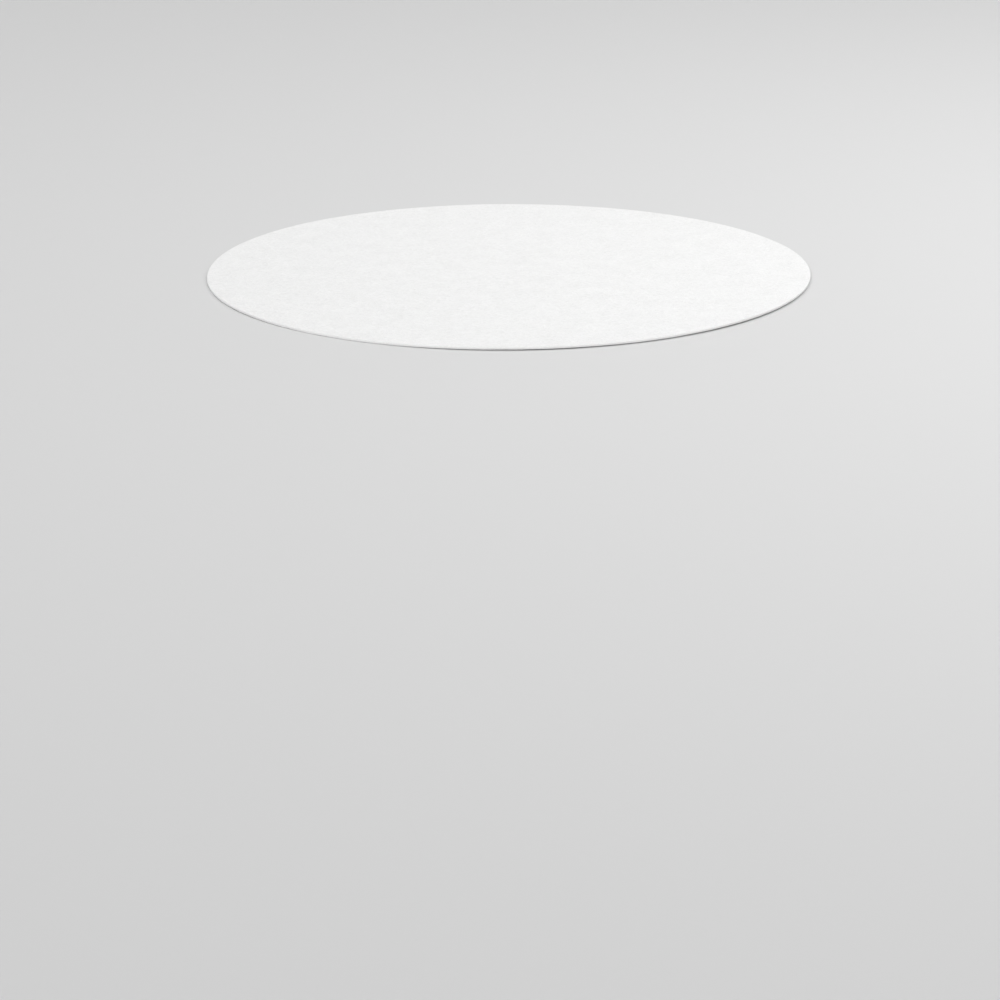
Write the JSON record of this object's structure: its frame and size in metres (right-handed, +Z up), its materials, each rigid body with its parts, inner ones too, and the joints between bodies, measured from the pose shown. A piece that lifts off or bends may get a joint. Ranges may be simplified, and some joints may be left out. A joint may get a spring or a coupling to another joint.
{
  "type": "filter paper disc",
  "caption": "Flat round sheet of plain white filter paper with a die-cut edge, laid on a funnel plate or in a holder to strain solids from a liquid.",
  "frame": {"origin": "centre of the underside of the sheet", "axes": "+Z up, out of the upper face; X and Y lie in the sheet, which is the same all round"},
  "size_m": [0.055, 0.055, 0.0002],
  "materials": {
    "filter_paper": "uncoated matt white cellulose with a fine fibre texture"
  },
  "bodies": {
    "root": {"filter_disc": "filter_paper"}
  },
  "joints": []
}
